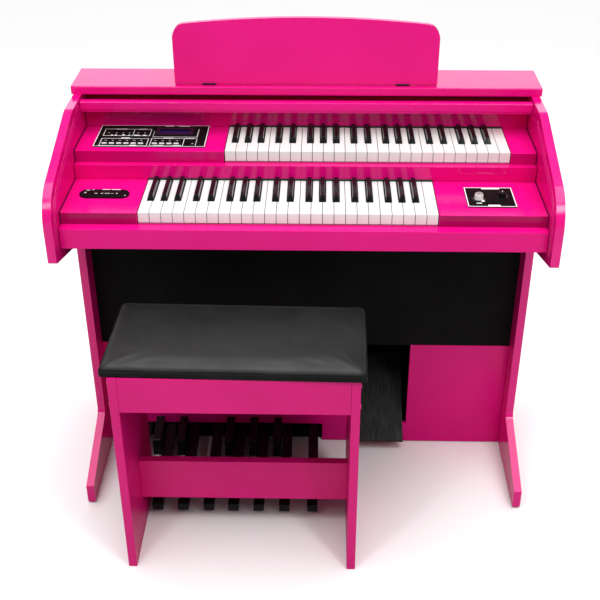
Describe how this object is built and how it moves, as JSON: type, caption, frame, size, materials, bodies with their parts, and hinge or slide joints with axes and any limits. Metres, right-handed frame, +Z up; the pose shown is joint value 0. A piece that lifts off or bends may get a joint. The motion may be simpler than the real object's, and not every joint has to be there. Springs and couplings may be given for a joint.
{
  "type": "electronic organ",
  "caption": "Home electronic organ with stepped manuals in a lacquered console with wing sides, music rest, roll cover, bass pedals, expression pedal and separate bench.",
  "frame": {"origin": "on the floor, at the middle of the bottom of the bounding box of console and bench", "axes": "+Z up, +Y from the player towards the back of the console, +X to the player's right"},
  "size_m": [1.036, 0.66, 1.0687],
  "materials": {
    "pink_lacquer": "satin",
    "black_board": "matt",
    "black_plastic": "satin",
    "white_key_plastic": "gloss",
    "black_key_plastic": "gloss",
    "tray_steel": "plain",
    "display": "gloss",
    "grey_plastic": "satin",
    "white_rubber": "matt",
    "black_leather": "satin"
  },
  "bodies": {
    "case": {"left_side_panel": "pink_lacquer", "right_side_panel": "pink_lacquer", "front_left_glide": "black_plastic", "front_right_glide": "black_plastic", "rear_left_glide": "black_plastic", "rear_right_glide": "black_plastic", "top_lid": "pink_lacquer", "back_panel": "black_board", "upper_fascia": "pink_lacquer", "upper_keybed": "black_board", "lower_keybed": "black_board", "middle_rail": "pink_lacquer", "front_apron": "pink_lacquer", "upper_left_block": "pink_lacquer", "upper_right_block": "pink_lacquer", "lower_left_block": "pink_lacquer", "lower_right_block": "pink_lacquer", "control_panel": "black_plastic", "display_window": "display", "pill_panel": "black_plastic", "dial_panel": "black_plastic", "upper_key_chassis": "tray_steel", "lower_key_chassis": "tray_steel", "knee_panel": "black_board", "lower_panel": "pink_lacquer", "pedal_well": "black_board", "pedal_frame": "black_board", "left_rest_hinge": "black_plastic", "right_rest_hinge": "black_plastic"},
    "roll_cover": {"roll_cover": "pink_lacquer"},
    "music_rest": {"music_rest": "pink_lacquer"},
    "control_keypad": {"control_keypad": "white_rubber"},
    "volume_knob": {"volume_knob": "grey_plastic"},
    "tone_knob": {"tone_knob": "black_plastic"},
    "expression_pedal": {"expression_pedal": "black_plastic"},
    "bench": {"bench_left_panel": "pink_lacquer", "bench_right_panel": "pink_lacquer", "bench_front_rail": "pink_lacquer", "bench_back_rail": "pink_lacquer", "bench_stretcher": "pink_lacquer", "bench_cushion": "black_leather"},
    "upper_white_keys_cegb": {"upper_white_keys_cegb": "white_key_plastic"},
    "upper_white_keys_dfa": {"upper_white_keys_dfa": "white_key_plastic"},
    "upper_black_keys": {"upper_black_keys": "black_key_plastic"},
    "lower_white_keys_cegb": {"lower_white_keys_cegb": "white_key_plastic"},
    "lower_white_keys_dfa": {"lower_white_keys_dfa": "white_key_plastic"},
    "lower_black_keys": {"lower_black_keys": "black_key_plastic"},
    "pedal_C": {"pedal_C": "black_plastic"},
    "pedal_D": {"pedal_D": "black_plastic"},
    "pedal_E": {"pedal_E": "black_plastic"},
    "pedal_F": {"pedal_F": "black_plastic"},
    "pedal_G": {"pedal_G": "black_plastic"},
    "pedal_A": {"pedal_A": "black_plastic"},
    "pedal_B": {"pedal_B": "black_plastic"},
    "pedal_high_C": {"pedal_high_C": "black_plastic"},
    "pedal_C_sharp": {"pedal_C_sharp": "black_plastic"},
    "pedal_D_sharp": {"pedal_D_sharp": "black_plastic"},
    "pedal_F_sharp": {"pedal_F_sharp": "black_plastic"},
    "pedal_G_sharp": {"pedal_G_sharp": "black_plastic"},
    "pedal_A_sharp": {"pedal_A_sharp": "black_plastic"}
  },
  "joints": [
    {"name": "roll_cover_slide", "type": "slide", "parent": "case", "child": "roll_cover", "axis": [0, -1, 0], "range_m": [0, 0.05]},
    {"name": "music_rest_fold", "type": "hinge", "parent": "case", "child": "music_rest", "pos_m": [0, 0.2211, 0.9213], "axis": [1, 0, 0], "range_deg": [0, 90]},
    {"name": "keypad_press", "type": "slide", "parent": "case", "child": "control_keypad", "axis": [0, 0, -1], "range_m": [0, 0.001], "stiffness_N_per_m": 1500, "springref_m": -0.0005},
    {"name": "volume_turn", "type": "hinge", "parent": "case", "child": "volume_knob", "pos_m": [0.363, -0.025, 0.7654], "axis": [0, 0, 1], "range_deg": [-135, 135]},
    {"name": "tone_turn", "type": "hinge", "parent": "case", "child": "tone_knob", "pos_m": [0.4135, -0.01, 0.7654], "axis": [0, 0, 1], "range_deg": [-135, 135]},
    {"name": "expression_tilt", "type": "hinge", "parent": "case", "child": "expression_pedal", "pos_m": [0.18775, 0.1676, 0.07388], "axis": [-1, 0, 0], "range_deg": [0, 18]},
    {"name": "bench_move", "type": "slide", "parent": "case", "child": "bench", "axis": [0, -1, 0], "range_m": [0, 0.3]},
    {"name": "upper_white_keys_cegb_press", "type": "hinge", "parent": "case", "child": "upper_white_keys_cegb", "pos_m": [0, 0.2738, 0.79565], "axis": [1, 0, 0], "range_deg": [0, 3], "stiffness_Nm_per_rad": 30, "springref_deg": -2.86},
    {"name": "upper_white_keys_dfa_press", "type": "hinge", "parent": "case", "child": "upper_white_keys_dfa", "pos_m": [0, 0.2578, 0.79565], "axis": [1, 0, 0], "range_deg": [0, 3.2], "stiffness_Nm_per_rad": 30, "springref_deg": -2.86},
    {"name": "upper_black_keys_press", "type": "hinge", "parent": "case", "child": "upper_black_keys", "pos_m": [0, 0.2418, 0.79565], "axis": [1, 0, 0], "range_deg": [0, 3.8], "stiffness_Nm_per_rad": 30, "springref_deg": -2.86},
    {"name": "lower_white_keys_cegb_press", "type": "hinge", "parent": "case", "child": "lower_white_keys_cegb", "pos_m": [0, 0.0958, 0.73695], "axis": [1, 0, 0], "range_deg": [0, 3], "stiffness_Nm_per_rad": 30, "springref_deg": -2.86},
    {"name": "lower_white_keys_dfa_press", "type": "hinge", "parent": "case", "child": "lower_white_keys_dfa", "pos_m": [0, 0.0798, 0.73695], "axis": [1, 0, 0], "range_deg": [0, 3.2], "stiffness_Nm_per_rad": 30, "springref_deg": -2.86},
    {"name": "lower_black_keys_press", "type": "hinge", "parent": "case", "child": "lower_black_keys", "pos_m": [0, 0.0638, 0.73695], "axis": [1, 0, 0], "range_deg": [0, 3.8], "stiffness_Nm_per_rad": 30, "springref_deg": -2.86},
    {"name": "pedal_C_press", "type": "hinge", "parent": "case", "child": "pedal_C", "pos_m": [0, 0.3, 0.043], "axis": [1, 0, 0], "range_deg": [0, 1.5], "stiffness_Nm_per_rad": 60, "springref_deg": -2.86},
    {"name": "pedal_D_press", "type": "hinge", "parent": "case", "child": "pedal_D", "pos_m": [0, 0.3, 0.043], "axis": [1, 0, 0], "range_deg": [0, 1.5], "stiffness_Nm_per_rad": 60, "springref_deg": -2.86},
    {"name": "pedal_E_press", "type": "hinge", "parent": "case", "child": "pedal_E", "pos_m": [0, 0.3, 0.043], "axis": [1, 0, 0], "range_deg": [0, 1.5], "stiffness_Nm_per_rad": 60, "springref_deg": -2.86},
    {"name": "pedal_F_press", "type": "hinge", "parent": "case", "child": "pedal_F", "pos_m": [0, 0.3, 0.043], "axis": [1, 0, 0], "range_deg": [0, 1.5], "stiffness_Nm_per_rad": 60, "springref_deg": -2.86},
    {"name": "pedal_G_press", "type": "hinge", "parent": "case", "child": "pedal_G", "pos_m": [0, 0.3, 0.043], "axis": [1, 0, 0], "range_deg": [0, 1.5], "stiffness_Nm_per_rad": 60, "springref_deg": -2.86},
    {"name": "pedal_A_press", "type": "hinge", "parent": "case", "child": "pedal_A", "pos_m": [0, 0.3, 0.043], "axis": [1, 0, 0], "range_deg": [0, 1.5], "stiffness_Nm_per_rad": 60, "springref_deg": -2.86},
    {"name": "pedal_B_press", "type": "hinge", "parent": "case", "child": "pedal_B", "pos_m": [0, 0.3, 0.043], "axis": [1, 0, 0], "range_deg": [0, 1.5], "stiffness_Nm_per_rad": 60, "springref_deg": -2.86},
    {"name": "pedal_high_C_press", "type": "hinge", "parent": "case", "child": "pedal_high_C", "pos_m": [0, 0.3, 0.043], "axis": [1, 0, 0], "range_deg": [0, 1.5], "stiffness_Nm_per_rad": 60, "springref_deg": -2.86},
    {"name": "pedal_C_sharp_press", "type": "hinge", "parent": "case", "child": "pedal_C_sharp", "pos_m": [0, 0.3, 0.043], "axis": [1, 0, 0], "range_deg": [0, 1.5], "stiffness_Nm_per_rad": 60, "springref_deg": -2.86},
    {"name": "pedal_D_sharp_press", "type": "hinge", "parent": "case", "child": "pedal_D_sharp", "pos_m": [0, 0.3, 0.043], "axis": [1, 0, 0], "range_deg": [0, 1.5], "stiffness_Nm_per_rad": 60, "springref_deg": -2.86},
    {"name": "pedal_F_sharp_press", "type": "hinge", "parent": "case", "child": "pedal_F_sharp", "pos_m": [0, 0.3, 0.043], "axis": [1, 0, 0], "range_deg": [0, 1.5], "stiffness_Nm_per_rad": 60, "springref_deg": -2.86},
    {"name": "pedal_G_sharp_press", "type": "hinge", "parent": "case", "child": "pedal_G_sharp", "pos_m": [0, 0.3, 0.043], "axis": [1, 0, 0], "range_deg": [0, 1.5], "stiffness_Nm_per_rad": 60, "springref_deg": -2.86},
    {"name": "pedal_A_sharp_press", "type": "hinge", "parent": "case", "child": "pedal_A_sharp", "pos_m": [0, 0.3, 0.043], "axis": [1, 0, 0], "range_deg": [0, 1.5], "stiffness_Nm_per_rad": 60, "springref_deg": -2.86}
  ]
}
